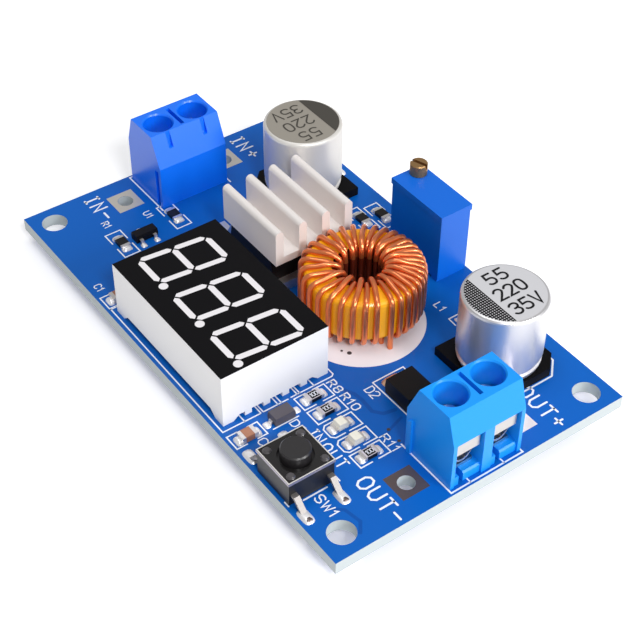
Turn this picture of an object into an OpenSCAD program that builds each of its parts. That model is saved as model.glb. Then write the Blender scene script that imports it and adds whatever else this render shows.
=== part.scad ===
// Step-down voltage regulator module with a three digit meter.
// Millimetres, +Z up. +X runs from the input end to the output end.
// The origin is the middle of the board in plan, at the height of the lowest pin tips.

/* [Board] */
// Board length, input end to output end
board_l = 66; // [65:0.1:70]
// Board width
board_w = 39.5; // [39.2:0.1:43]
// Board thickness
board_t = 1.6; // [1.2:0.1:2]
// Longest pin below the board
pin_drop = 2.0; // [1.8:0.1:3]
// Corner mounting hole diameter
mount_hole_d = 3.2; // [2.6:0.1:3.6]
// Mounting hole spacing along the board
mount_dx = 60.3; // [59.5:0.1:60.5]
// Mounting hole spacing across the board
mount_dy = 33.8; // [33.4:0.1:34.2]
// Plated hole diameter in the four wire pads
pad_hole_d = 2.0; // [1:0.1:2.4]

/* [Screw terminals] */
// Terminal height above the board
term_h = 10; // [9.6:0.1:11]
// Distance between the two poles
term_pitch = 5; // [4.8:0.01:5.08]
// Screw well diameter
well_d = 3.7; // [3.4:0.1:3.8]
// Terminal pin diameter
term_pin_d = 1.1; // [0.8:0.1:1.2]

/* [Meter display] */
// Display height above the board
disp_h = 7.25; // [6:0.05:8]
// Lit bar width
bar_w = 0.74; // [0.5:0.02:0.9]
// Height of one digit between the middles of its bars
digit_h = 8.5; // [8:0.1:9]
// Width of one digit between the middles of its bars
digit_w = 4.5; // [4:0.1:4.8]

/* [Capacitors] */
// Capacitor can diameter
can_d = 9.9; // [9:0.1:10.1]
// Capacitor height above the board
can_h = 10.6; // [8:0.1:12]

/* [Regulator and heatsink] */
// Heatsink fin thickness
fin_t = 1.1; // [0.7:0.05:1.3]
// Top of the fins above the board
fin_top = 9.5; // [8:0.1:11]

/* [Inductor] */
// Turns of wire around the ring
turns = 33; // [26:1:33]
// Wire diameter
wire_d = 0.66; // [0.5:0.01:0.68]

/* [Trimmer] */
// Trimmer height above the board
trim_h = 10; // [9:0.1:11]
// Adjusting screw diameter
trim_screw_d = 2.15; // [1.6:0.05:2.4]

/* [Push switch] */
// Button diameter
button_d = 3.4; // [3:0.1:3.8]
// Height of the button above the switch cover
button_up = 1.1; // [0.6:0.1:2]

/* [Hidden] */
$fn = 64;
bt = pin_drop + board_t;
tip = -board_t - pin_drop;
eps = 0.05;

// terminals: x of the rear face and y of the middle for each end
out_rear = 24.65;
out_y = 0.4;
in_rear = -24.75;
in_y = 0.5;
term_d = 7.6;
term_w = term_pitch * 2 - 0.3;
screw_u = 3.85;
mouth_z = 6.4;
cage_w = term_pitch - 1.8;
plate_z = 1.3;
strap_z = 5.0;
leaf_z = 2.1;
screw_bore_r = 1.3;
shank_r = 1.25;
head_r = well_d / 2 - 0.3;
head_z = 5.8;

// display
disp_x = -0.25;
disp_y = -11.7;
disp_l = 22.6;
disp_w = 14.0;
disp_wall = 1.0;
disp_face = 1.6;
digit_pitch = 7.55;
digit_x = -7.35;
digit_y = 0.05;
slant = tan(6);
dot_r = 0.55;

// capacitors
out_cap = [20.75, 12];
in_cap = [-17.75, 12.4];
cap_base = 10.1;
cap_base_t = 1.2;

// regulator under the heatsink
reg_y = 3.3;
reg_w = 10.2;
reg_x0 = -12.95;
reg_x1 = -4.05;
reg_top = 4.5;
lead_pitch = 1.7;
sink_x0 = -13.9;
sink_l = 11.05;
sink_y0 = -2.05;
sink_w = 11.0;
sink_z = 4.6;
sink_base = 1.0;
fin_gap = (sink_w - fin_t) / 3;

// inductor
ring_c = [4.8, 4.75];
ring_ro = 6.85;
ring_ri = 3.48;
ring_z0 = 1.25;
ring_z1 = 6.9;
wire_r = wire_d / 2;
wire_gap = 0.1;
wire_out = ring_ro + wire_gap + wire_r;
wire_in = ring_ri - wire_gap - wire_r;
wire_top = ring_z1 + wire_gap + wire_r;
wire_bot = ring_z0 - wire_gap - wire_r;
wire_c = 0.95;
wire_sides = 8;
wind_from = 350;
wind_sweep = 341;
// the turns crowd together on one side and every other turn lies over its neighbours
wind_crowd = 0.25;
wind_open_at = 0.74;
wind_nest = 0.6;
wind_lift = 0.42;
function wind_a(u) = let (f = u / turns)
    wind_from + wind_sweep * (f + wind_crowd / 360 * 57.2958
        * (sin(360 * (f - wind_open_at)) + sin(360 * wind_open_at)));

// trimmer
trim_c = [1.68, 17.18];
trim_l = 9.45;
trim_w = 4.6;
trim_screw = [-1.9, 18.05];
trim_bore_r = 0.75;

// push switch
sw_c = [21.4, -16.4];
sw_size = 5.95;
sw_top = 3.5;
sw_leg_x = 5.0;
sw_leg_y = 2.3;
sw_leg_in = 2.3;

// through holes: x, y, hole radius, pin radius
term_holes = [
    [out_rear + screw_u, out_y - term_pitch / 2], [out_rear + screw_u, out_y + term_pitch / 2],
    [in_rear - screw_u, in_y - term_pitch / 2], [in_rear - screw_u, in_y + term_pitch / 2]];
disp_pins_low = [-6.35, -3.81, -1.27, 1.27, 3.81, 6.35];
disp_pins_high = [-6.35, -3.81, -1.27, 1.27, 3.81];
disp_row = 5.08;
trim_pitch = 2.54;
wind_ends = [wind_from, wind_a(turns - 0.05)];
wire_holes = [for (a = wind_ends)
    [ring_c[0] + wire_out * cos(a), ring_c[1] + wire_out * sin(a)]];
disp_holes = concat(
    [for (x = disp_pins_low) [disp_x + x, disp_y - disp_row]],
    [for (x = disp_pins_high) [disp_x + x, disp_y + disp_row]]);
trim_holes = [for (i = [-1, 0, 1]) [trim_c[0] + i * trim_pitch, trim_c[1]]];
sw_holes = [for (sx = [-1, 1], sy = [-1, 1]) [sw_c[0] + sx * sw_leg_x, sw_c[1] + sy * sw_leg_y]];

// chips that lie along Y or along X: x, y, turned
chips = [
    [13.2, -8.2, 90], [15.7, -8.25, 90], [23.45, -8.3, 90],
    [-21.7, -12.1, 0], [-22.7, -4.0, 0], [-7.6, 17.35, 0], [-8.3, 14.8, 0]];
caps = [[13.85, -17.4, 90], [-13.4, -17.4, 90]];
lamps = [[18.35, -8.3, 90], [21.0, -8.25, 90]];

// ---------- helpers ----------

// lift to the top face of the board
module on_board(x = 0, y = 0, z = 0) {
    translate([x, y, bt + z]) children();
}

// box given by its low corner and high corner
module span(a, b) {
    translate(a) cube([b[0] - a[0], b[1] - a[1], b[2] - a[2]]);
}

// profile drawn in X and Z, pushed along Y by w about the middle
module side_profile(pts, w) {
    rotate([90, 0, 0]) linear_extrude(height = w, center = true) polygon(pts);
}

// places a terminal built with its rear face at x = 0 and its mouth toward +X
module at_output() {
    on_board(out_rear, out_y) children();
}

module at_input() {
    on_board(in_rear, in_y) rotate([0, 0, 180]) children();
}

// ---------- board and solder ----------

module circuit_board() {
    color([0.03, 0.26, 0.66]) difference() {
        translate([-board_l / 2, -board_w / 2, pin_drop]) cube([board_l, board_w, board_t]);
        for (sx = [-1, 1], sy = [-1, 1]) {
            translate([sx * mount_dx / 2, sy * mount_dy / 2, pin_drop - 1])
                cylinder(h = board_t + 2, d = mount_hole_d);
            translate([sx * 28.8, sy * 7.5, pin_drop - 1])
                cylinder(h = board_t + 2, d = pad_hole_d);
        }
        for (p = term_holes)
            translate([p[0], p[1], pin_drop - 1]) cylinder(h = board_t + 2, d = term_pin_d + 0.3);
        for (p = wire_holes)
            translate([p[0], p[1], pin_drop - 1]) cylinder(h = board_t + 2, d = wire_d + 0.3, $fn = 32);
        for (p = concat(disp_holes, trim_holes))
            translate([p[0], p[1], pin_drop - 1]) cylinder(h = board_t + 2, d = 0.9, $fn = 32);
        for (p = sw_holes) translate([p[0], p[1], pin_drop - 1]) {
            translate([-0.5, -0.6, 0]) cube([1, 1.2, board_t + 2]);
            for (s = [-0.5, 0.5])
                translate([s, 0, 0]) cylinder(h = board_t + 2, r = 0.6, $fn = 32);
        }
    }
}

// one cone of solder under the board around a round pin
module solder_cone(p, foot_r, pin_r, h = 1.1) {
    translate([p[0], p[1], pin_drop - h]) difference() {
        cylinder(h = h, r1 = pin_r + 0.15, r2 = foot_r, $fn = 32);
        translate([0, 0, -1]) cylinder(h = h + 2, r = pin_r, $fn = 32);
    }
}

module solder_joints() {
    color([0.78, 0.78, 0.8]) {
        for (p = term_holes) solder_cone(p, 1.35, term_pin_d / 2);
        for (p = wire_holes) solder_cone(p, 1.15, wire_r + 0.01);
        for (p = concat(disp_holes, trim_holes)) solder_cone(p, 0.8, 0.27);
        for (p = sw_holes) translate([p[0], p[1], pin_drop - 1]) difference() {
            cylinder(h = 1, r1 = 0.55, r2 = 0.95, $fn = 32);
            translate([-0.16, -0.36, -1]) cube([0.32, 0.72, 3]);
        }
    }
}

// ---------- screw terminals ----------

module terminal_housing() {
    difference() {
        union() {
            side_profile([[0, 0], [term_d, 0], [term_d, mouth_z], [term_d - 1.1, term_h],
                [1.7, term_h], [0, 6]], term_w);
            // sliding rib on one side
            translate([0.6, -term_w / 2, 0]) rotate([90, 0, 0]) linear_extrude(height = 0.35)
                polygon([[0, 0], [0.6, 0], [0.6, 5], [0, 4.7]]);
        }
        // matching groove on the other side
        translate([0.5, term_w / 2 - 0.35, -1]) cube([0.8, 1, 6.3]);
        // slot between the poles
        translate([2.05, -0.25, term_h - 1.5]) cube([3.7, 0.5, 2]);
        for (s = [-1, 1]) translate([0, s * term_pitch / 2, 0]) {
            translate([1, -cage_w / 2 - 0.25, -1]) cube([term_d, cage_w + 0.5, mouth_z + 1]);
            translate([screw_u, 0, mouth_z - 1]) cylinder(h = term_h, d = well_d);
            translate([screw_u, 0, term_h - 0.2])
                cylinder(h = 0.4, r1 = well_d / 2, r2 = well_d / 2 + 0.3);
            // driver notch in the sloped rear edge
            side_profile([[0.5, 8], [1.35, 8], [1.75, term_h + 0.1], [1.0, term_h + 0.1]], 0.6);
        }
    }
    for (s = [-1, 1]) translate([0, s * term_pitch / 2, 0]) {
        difference() {
            translate([0, 0.75, 0])
                side_profile([[0.9, 0], [7.35, 0], [7.35, 1.1], [7.15, plate_z], [0.9, plate_z]],
                    cage_w / 2 + 0.8);
            translate([screw_u, 0, -1]) cylinder(h = 4, r = term_pin_d / 2 + 0.05);
        }
        translate([0.9, -cage_w / 2 - 0.3, 0]) cube([6.55, 0.75, 1.3]);
    }
}

module terminal_contacts() {
    for (s = [-1, 1]) translate([0, s * term_pitch / 2, 0]) {
        span([1, -cage_w / 2 + 0.1, plate_z], [6.4, cage_w / 2 - 0.1, plate_z + 0.45]);
        span([1, -cage_w / 2 + 0.1, plate_z], [1.5, cage_w / 2 - 0.1, strap_z + 0.3]);
        difference() {
            span([1, -cage_w / 2, strap_z], [7.1, cage_w / 2, strap_z + 0.7]);
            translate([screw_u, 0, strap_z - 1]) cylinder(h = 3, r = screw_bore_r);
        }
        span([6.75, -cage_w / 2, 4.2], [7.15, cage_w / 2, 6.2]);
        translate([screw_u, 0, tip]) cylinder(h = plate_z - tip + 0.2, d = term_pin_d);
    }
}

// trough-shaped leaf that cradles the wire, with a flat for the screw
module terminal_leaf(s) {
    w = cage_w / 2 - 0.1;
    n = 6;
    rise = 1.3;
    low = [for (i = [-n : n]) [w * i / n, rise * pow(i / n, 2)]];
    high = [for (i = [n : -1 : -n]) [w * i / n, rise * pow(i / n, 2) + 0.3]];
    translate([2.1, s * term_pitch / 2, leaf_z - 0.1]) rotate([90, 0, 90])
        linear_extrude(height = 4.35) polygon(concat(low, high));
    translate([screw_u, s * term_pitch / 2, leaf_z + 0.1]) cylinder(h = 0.2, r = 0.45);
}

module terminal_screw(s) {
    translate([screw_u, s * term_pitch / 2, 0]) {
        translate([0, 0, leaf_z + 0.35]) cylinder(h = 0.95, r1 = 0.45, r2 = shank_r);
        translate([0, 0, leaf_z + 1.3]) cylinder(h = head_z - leaf_z - 1.25, r = shank_r);
        translate([0, 0, head_z]) difference() {
            union() {
                cylinder(h = 0.9, r = head_r);
                translate([0, 0, 0.9]) cylinder(h = 0.2, r1 = head_r, r2 = head_r - 0.25);
            }
            rotate([0, 0, 35]) translate([-3, -0.25, 0.55]) cube([6, 0.5, 1]);
        }
    }
}

module output_terminal_housing() {
    color([0.1, 0.42, 0.9]) at_output() terminal_housing();
}

module output_terminal_contacts() {
    color([0.82, 0.82, 0.84]) at_output() terminal_contacts();
}

module output_terminal_leaf_1() {
    color([0.85, 0.85, 0.87]) at_output() terminal_leaf(-1);
}

module output_terminal_leaf_2() {
    color([0.85, 0.85, 0.87]) at_output() terminal_leaf(1);
}

module output_terminal_screw_1() {
    color([0.75, 0.75, 0.78]) at_output() terminal_screw(-1);
}

module output_terminal_screw_2() {
    color([0.75, 0.75, 0.78]) at_output() terminal_screw(1);
}

module input_terminal_housing() {
    color([0.06, 0.34, 0.88]) at_input() terminal_housing();
}

module input_terminal_contacts() {
    color([0.82, 0.82, 0.84]) at_input() terminal_contacts();
}

module input_terminal_leaf_1() {
    color([0.85, 0.85, 0.87]) at_input() terminal_leaf(-1);
}

module input_terminal_leaf_2() {
    color([0.85, 0.85, 0.87]) at_input() terminal_leaf(1);
}

module input_terminal_screw_1() {
    color([0.75, 0.75, 0.78]) at_input() terminal_screw(-1);
}

module input_terminal_screw_2() {
    color([0.75, 0.75, 0.78]) at_input() terminal_screw(1);
}

// ---------- electrolytic capacitors ----------

module cap_can() {
    r = can_d / 2;
    rotate_extrude() polygon([[0, cap_base_t], [r - 0.5, cap_base_t], [r - 0.18, cap_base_t + 0.3],
        [r - 0.08, cap_base_t + 0.75], [r - 0.25, cap_base_t + 1.05], [r - 0.25, cap_base_t + 1.3],
        [r, cap_base_t + 1.65], [r, can_h - 0.4], [r - 0.06, can_h - 0.2], [r - 0.2, can_h - 0.06],
        [r - 0.4, can_h], [0, can_h]]);
}

// the two clipped corners face +Y
module cap_lead(dir, out) {
    y1 = cap_base / 2 + out;
    translate([-0.55, dir > 0 ? 1.2 : -y1, 0]) cube([1.1, y1 - 1.2, 0.25]);
}

module cap_foot(out_a, out_b) {
    h = cap_base / 2;
    c = 1.7;
    difference() {
        translate([0, 0, 0.05]) linear_extrude(height = cap_base_t - 0.05)
            polygon([[-h, -h], [h, -h], [h, h - c], [h - c, h], [-h + c, h], [-h, h - c]]);
        cap_lead(1, 1 + out_a);
        cap_lead(-1, 1 + out_b);
    }
}

module output_capacitor_can() {
    color([0.8, 0.8, 0.82]) on_board(out_cap[0], out_cap[1]) cap_can();
}

module output_capacitor_base() {
    color([0.06, 0.06, 0.07]) on_board(out_cap[0], out_cap[1]) cap_foot(0.6, 0.6);
}

module output_capacitor_leads() {
    color([0.8, 0.8, 0.8]) on_board(out_cap[0], out_cap[1]) {
        cap_lead(1, 0.6);
        cap_lead(-1, 0.6);
    }
}

module input_capacitor_can() {
    color([0.8, 0.8, 0.82]) on_board(in_cap[0], in_cap[1]) rotate([0, 0, 180]) cap_can();
}

module input_capacitor_base() {
    color([0.06, 0.06, 0.07]) on_board(in_cap[0], in_cap[1]) rotate([0, 0, 180]) cap_foot(0, 0.6);
}

module input_capacitor_leads() {
    color([0.8, 0.8, 0.8]) on_board(in_cap[0], in_cap[1]) rotate([0, 0, 180]) {
        cap_lead(1, -0.05);
        cap_lead(-1, 0.6);
    }
}

// ---------- regulator, adhesive and heatsink ----------

module heatsink() {
    color([0.8, 0.79, 0.78]) on_board(sink_x0, sink_y0, 0) {
        translate([0, 0, sink_z]) cube([sink_l, sink_w, sink_base]);
        for (i = [0 : 3]) translate([0, i * fin_gap, 0]) {
            translate([0, 0, sink_z + sink_base - eps])
                cube([sink_l, fin_t, fin_top - fin_t / 2 - sink_z - sink_base + eps]);
            translate([0, fin_t / 2, fin_top - fin_t / 2]) rotate([0, 90, 0])
                cylinder(h = sink_l, d = fin_t, $fn = 32);
        }
    }
}

module thermal_adhesive() {
    color([0.85, 0.85, 0.83]) on_board()
        span([reg_x0 + 0.7, reg_y - 4.6, reg_top], [reg_x1 - 0.7, reg_y + 4.6, sink_z]);
}

module regulator_body() {
    color([0.07, 0.07, 0.08]) on_board(0, reg_y)
        side_profile([[reg_x0 + 0.35, 0.1], [reg_x0, 2.4], [reg_x0 + 0.3, reg_top],
            [reg_x1 - 0.3, reg_top], [reg_x1, 2.4], [reg_x1, 0.1]], reg_w);
}

module regulator_leadframe() {
    color([0.76, 0.76, 0.78]) on_board(0, reg_y) {
        span([reg_x1, -5, 0], [reg_x1 + 1.05, 5, 1.3]);
        for (i = [-2 : 2]) translate([0, i * lead_pitch * 2 / 2, 0])
            side_profile([[reg_x0 - 0.01, 2.85], [reg_x0 - 1.55, 2.85], [reg_x0 - 2.85, 0.5],
                [-17.7, 0.5], [-17.7, 0], [reg_x0 - 2.5, 0], [reg_x0 - 1.2, 2.35],
                [reg_x0 - 0.01, 2.35]], 0.8);
    }
}

// ---------- inductor ----------

module inductor_core() {
    c = 0.6;
    pts = concat(
        [for (a = [0 : 30 : 90]) [ring_ro - c + c * cos(a), ring_z1 - c + c * sin(a)]],
        [for (a = [90 : 30 : 180]) [ring_ri + c + c * cos(a), ring_z1 - c + c * sin(a)]],
        [for (a = [180 : 30 : 270]) [ring_ri + c + c * cos(a), ring_z0 + c + c * sin(a)]],
        [for (a = [270 : 30 : 360]) [ring_ro - c + c * cos(a), ring_z0 + c + c * sin(a)]]);
    color([0.95, 0.65, 0.1]) on_board(ring_c[0], ring_c[1]) rotate_extrude($fn = 96) polygon(pts);
}

// one turn: radius, height, share of the turn wound, then what an upper turn adds to radius and height
wire_mid = (wire_out + wire_in) / 2 + 0.15;
turn_pts = [
    [wire_out, wire_bot + wire_c, 0, 0, 0],
    [wire_out, wire_top - wire_c, 0, 0, 0],
    [wire_out - 0.29 * wire_c, wire_top - 0.29 * wire_c, 0.06, 0, 0],
    [wire_out - wire_c, wire_top, 0.12, 0, 0],
    [wire_mid, wire_top, 0.24, 0, 0.25 * wind_lift],
    [wire_in + wire_c, wire_top, 0.38, 0, wind_lift],
    [wire_in + 0.29 * wire_c, wire_top - 0.29 * wire_c, 0.44, -0.75 * wind_nest, wind_lift],
    [wire_in, wire_top - wire_c, 0.5, -wind_nest, 0.5 * wind_lift],
    [wire_in, wire_bot + wire_c, 0.5, -wind_nest, -0.5 * wind_lift],
    [wire_in + 0.29 * wire_c, wire_bot + 0.29 * wire_c, 0.56, -0.75 * wind_nest, -wind_lift],
    [wire_in + wire_c, wire_bot, 0.62, 0, -wind_lift],
    [wire_mid, wire_bot, 0.76, 0, -0.25 * wind_lift],
    [wire_out - wire_c, wire_bot, 0.88, 0, 0],
    [wire_out - 0.29 * wire_c, wire_bot + 0.29 * wire_c, 0.94, 0, 0]];
turn_n = len(turn_pts);

// wire middle line: lead up, the turns, lead down
function wind_pt(k) = let (t = floor(k / turn_n), q = turn_pts[k % turn_n], up = t % 2,
    r = q[0] + up * q[3], a = wind_a(t + q[2]))
    [r * cos(a), r * sin(a), q[1] + up * q[4]];
end_a = wind_ends[1];
wire_line = concat(
    [[wire_out * cos(wind_from), wire_out * sin(wind_from), tip + 0.4]],
    [for (k = [0 : turns * turn_n - 2]) wind_pt(k)],
    [for (q = [[0.45, -0.06], [0.12, -0.25], [0, -0.6], [0, tip + 0.4 - wire_bot]])
        [(wire_out - q[0]) * cos(end_a), (wire_out - q[0]) * sin(end_a), wire_bot + q[1]]]);
wire_n = len(wire_line);

function unit(v) = v / norm(v);
function wire_dir(i) = unit(wire_line[min(i + 1, wire_n - 1)] - wire_line[max(i - 1, 0)]);
function wire_side(i) = let (p = wire_line[i], t = wire_dir(i),
    e = [-p[1], p[0], 0] / norm([p[0], p[1]]))
    unit(e - t * (e * t));

module inductor_winding() {
    rings = [for (i = [0 : wire_n - 1]) let (n = wire_side(i), b = cross(wire_dir(i), n))
        for (k = [0 : wire_sides - 1])
            wire_line[i] + wire_r * (cos(k * 360 / wire_sides) * n + sin(k * 360 / wire_sides) * b)];
    walls = [for (i = [0 : wire_n - 2], k = [0 : wire_sides - 1])
        let (a = i * wire_sides + k, b = i * wire_sides + (k + 1) % wire_sides)
        [a, a + wire_sides, b + wire_sides, b]];
    cap_a = [[for (k = [0 : wire_sides - 1]) k]];
    cap_b = [[for (k = [wire_sides - 1 : -1 : 0]) (wire_n - 1) * wire_sides + k]];
    color([0.8, 0.4, 0.2]) on_board(ring_c[0], ring_c[1])
        polyhedron(points = rings, faces = concat(walls, cap_a, cap_b));
}

// ---------- trimmer ----------

module trimmer_housing() {
    hl = trim_l / 2;
    hw = trim_w / 2;
    color([0.05, 0.28, 0.8]) on_board(trim_c[0], trim_c[1]) difference() {
        union() {
            span([-hl, -hw, trim_h - 0.8], [hl, hw, trim_h]);
            span([-hl + 0.12, -hw + 0.12, 0.4], [hl - 0.12, hw - 0.12, trim_h - 0.7]);
            for (s = [-1, 1]) translate([s * (hl - 0.7) - 0.5, -hw + 0.12, 0])
                cube([1, trim_w - 0.24, 0.6]);
        }
        translate([trim_screw[0] - trim_c[0], trim_screw[1] - trim_c[1], trim_h - 3])
            cylinder(h = 4, r = trim_bore_r, $fn = 48);
    }
}

module trimmer_screw() {
    color([0.8, 0.6, 0.3]) on_board(trim_screw[0], trim_screw[1], trim_h) {
        translate([0, 0, -2.8]) cylinder(h = 3, r = trim_bore_r - 0.05, $fn = 48);
        difference() {
            union() {
                translate([0, 0, 0.06]) cylinder(h = 1.39, d = trim_screw_d, $fn = 48);
                translate([0, 0, 1.44])
                    cylinder(h = 0.12, r1 = trim_screw_d / 2, r2 = trim_screw_d / 2 - 0.12, $fn = 48);
            }
            rotate([0, 0, 20]) translate([-2, -0.22, 0.95]) cube([4, 0.44, 1]);
        }
    }
}

module trimmer_pins() {
    color([0.8, 0.8, 0.8]) for (p = trim_holes)
        translate([p[0], p[1], 0.3]) cylinder(h = bt + 0.1, r = 0.27, $fn = 32);
}

// ---------- meter display ----------

// long bar with pointed ends, drawn in the digit frame and then leaned over
function lean(pts) = [for (p = pts) [p[0] + p[1] * slant, p[1]]];
function bar_x(c, l) = [
    [c[0] - l / 2, c[1]], [c[0] - l / 2 + bar_w / 2, c[1] + bar_w / 2],
    [c[0] + l / 2 - bar_w / 2, c[1] + bar_w / 2], [c[0] + l / 2, c[1]],
    [c[0] + l / 2 - bar_w / 2, c[1] - bar_w / 2], [c[0] - l / 2 + bar_w / 2, c[1] - bar_w / 2]];
function bar_y(c, l) = [
    [c[0], c[1] - l / 2], [c[0] + bar_w / 2, c[1] - l / 2 + bar_w / 2],
    [c[0] + bar_w / 2, c[1] + l / 2 - bar_w / 2], [c[0], c[1] + l / 2],
    [c[0] - bar_w / 2, c[1] + l / 2 - bar_w / 2], [c[0] - bar_w / 2, c[1] - l / 2 + bar_w / 2]];

module display_bars(h) {
    lx = digit_w - 0.3;
    ly = digit_h / 2 - 0.3;
    for (i = [0 : 2]) translate([digit_x + i * digit_pitch, digit_y, 0]) {
        for (r = [-1, 0, 1])
            linear_extrude(height = h) polygon(lean(bar_x([0, r * digit_h / 2], lx)));
        for (sx = [-1, 1], sy = [-1, 1])
            linear_extrude(height = h)
                polygon(lean(bar_y([sx * digit_w / 2, sy * digit_h / 4], ly)));
        translate([2.65, -digit_h / 2, 0]) cylinder(h = h, r = dot_r, $fn = 32);
    }
}

module display_shell() {
    l = disp_l / 2;
    w = disp_w / 2;
    color([0.93, 0.93, 0.92]) on_board(disp_x, disp_y) difference() {
        span([-l, -w, 0], [l, w, disp_h]);
        span([-l + disp_wall, -w + disp_wall, -1], [l - disp_wall, w - disp_wall, disp_h - disp_face]);
        translate([0, 0, disp_h - disp_face - 1]) display_bars(disp_face + 2);
        // teeth along the short ends
        for (s = [-1, 1]) translate([s * l, 0, 0]) rotate([0, 0, 90]) {
            side_profile([[-0.82, -1], [0.82, -1], [0.82, 0.65], [-0.82, 0.65]], 3);
            for (m = [0, 1]) mirror([m, 0, 0]) {
                side_profile([[1.72, -1], [3.25, -1], [3.25, 0.65], [1.72, 0.65]], 3);
                side_profile([[4.15, -1], [5.65, -1], [5.65, 0], [4.85, 0.65], [4.15, 0.65]], 3);
            }
        }
        // relief along the long sides between corner feet
        for (s = [-1, 1]) translate([0, s * w, 0])
            side_profile([[-l + 1.6, -1], [-l + 1.6, 0], [-l + 2.5, 0.8], [l - 2.5, 0.8],
                [l - 1.6, 0], [l - 1.6, -1]], 3);
    }
}

module display_segments() {
    color([0.95, 0.95, 0.95]) on_board(disp_x, disp_y, disp_h - disp_face)
        display_bars(disp_face);
}

module display_substrate() {
    l = disp_l / 2 - disp_wall;
    w = disp_w / 2 - disp_wall;
    color([0.85, 0.85, 0.82]) on_board(disp_x, disp_y) difference() {
        span([-l, -w, 1.3], [l, w, disp_h - disp_face]);
        for (p = disp_holes) translate([p[0] - disp_x, p[1] - disp_y, 0])
            cylinder(h = 2.3, r = 0.27, $fn = 32);
    }
}

module display_pins() {
    color([0.8, 0.8, 0.8]) for (p = disp_holes)
        translate([p[0], p[1], 0.2]) cylinder(h = bt + 2.1, r = 0.27, $fn = 32);
}

// ---------- push switch ----------

module switch_base() {
    h = sw_size / 2;
    color([0.09, 0.09, 0.1]) on_board(sw_c[0], sw_c[1]) difference() {
        span([-h + 0.1, -h + 0.1, 0.1], [h - 0.1, h - 0.1, sw_top - 0.35]);
        translate([0, 0, 1.6]) cylinder(h = 3, r = 2.4);
        for (sx = [-1, 1], sy = [-1, 1]) translate([sx * (sw_leg_in + 0.75), sy * sw_leg_y, 1.5])
            cube([1.5, 0.7, 0.3], center = true);
        for (sx = [-1, 1], sy = [-1, 1]) translate([sx * 2.15, sy * 2.15, sw_top - 1])
            cylinder(h = 2, r = 0.3, $fn = 24);
    }
}

module switch_cover() {
    h = sw_size / 2;
    color([0.7, 0.7, 0.72]) on_board(sw_c[0], sw_c[1]) {
        difference() {
            span([-h, -h, sw_top - 0.35], [h, h, sw_top]);
            translate([0, 0, 1]) cylinder(h = 4, r = button_d / 2 + 0.3);
        }
        for (sx = [-1, 1], sy = [-1, 1]) translate([sx * 2.15, sy * 2.15, sw_top - 0.9]) {
            cylinder(h = 0.95, r = 0.3, $fn = 24);
            translate([0, 0, 0.9]) cylinder(h = 0.2, r1 = 0.5, r2 = 0.35, $fn = 24);
        }
    }
}

module switch_button() {
    color([0.08, 0.08, 0.09]) on_board(sw_c[0], sw_c[1]) {
        translate([0, 0, 2.75]) cylinder(h = sw_top + button_up - 2.9, d = button_d);
        translate([0, 0, sw_top + button_up - 0.15])
            cylinder(h = 0.15, r1 = button_d / 2, r2 = button_d / 2 - 0.15);
        translate([0, 0, 2.55]) cylinder(h = 0.45, r = button_d / 2 + 0.4);
    }
}

module switch_dome() {
    color([0.85, 0.85, 0.85]) on_board(sw_c[0], sw_c[1]) {
        translate([0, 0, 1.6]) cylinder(h = 0.2, r = 2.3);
        translate([0, 0, 1.8]) cylinder(h = 0.15, r1 = 2.1, r2 = 1.2);
    }
}

module switch_legs() {
    color([0.8, 0.8, 0.82]) for (sx = [0, 1]) on_board(sw_c[0], sw_c[1]) rotate([0, 0, sx * 180])
        for (sy = [-1, 1]) translate([0, sy * sw_leg_y, 0])
            side_profile([[sw_leg_in, 1.35], [3.3, 1.35], [4.75, -0.1], [4.85, -0.5],
                [4.85, tip + 0.6], [5.15, tip + 0.6], [5.15, -0.4], [5.05, 0.05], [3.45, 1.65],
                [sw_leg_in, 1.65]], 0.7);
}

// ---------- diodes ----------

module rectifier_diode_body() {
    color([0.07, 0.07, 0.07]) on_board(19.25, 0.5)
        side_profile([[-2.05, 0.1], [-2.15, 1.2], [-2.0, 2.2], [2.0, 2.2], [2.15, 1.2], [2.05, 0.1]], 3.6);
}

module rectifier_diode_leads() {
    color([0.78, 0.76, 0.72]) for (s = [0, 1]) on_board(19.25, 0.5) rotate([0, 0, s * 180])
        side_profile([[2.16, 1.35], [2.6, 1.35], [2.8, 1.15], [2.8, 0], [1.9, 0], [1.9, 0.05],
            [2.2, 0.08], [2.5, 0.3], [2.5, 1.1], [2.16, 1.1]], 2.0);
}

module signal_diode_body() {
    color([0.07, 0.07, 0.07]) on_board(13.65, -12.8) rotate([0, 0, 90])
        side_profile([[-1.3, 0.05], [-1.35, 0.5], [-1.25, 1.1], [1.25, 1.1], [1.35, 0.5], [1.3, 0.05]], 1.55);
}

module signal_diode_leads() {
    color([0.8, 0.8, 0.8]) for (s = [0, 1]) on_board(13.65, -12.8) rotate([0, 0, 90 + s * 180])
        side_profile([[1.36, 0.5], [1.5, 0.5], [1.6, 0.15], [1.85, 0.15], [1.85, 0], [1.5, 0],
            [1.4, 0.35], [1.36, 0.35]], 0.6);
}

// ---------- small chips and lamps ----------

module chip_block(l, w, h, z = 0.03) {
    translate([-l / 2, -w / 2, z]) cube([l, w, h]);
}

module at_chip(p) {
    on_board(p[0], p[1]) rotate([0, 0, p[2]]) children();
}

module chip_resistors() {
    color([0.08, 0.08, 0.08]) for (p = chips) at_chip(p) chip_block(1.3, 1.25, 0.5);
}

module chip_capacitors() {
    color([0.6, 0.42, 0.28]) for (p = caps) at_chip(p) chip_block(1.1, 1.3, 0.8);
}

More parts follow.
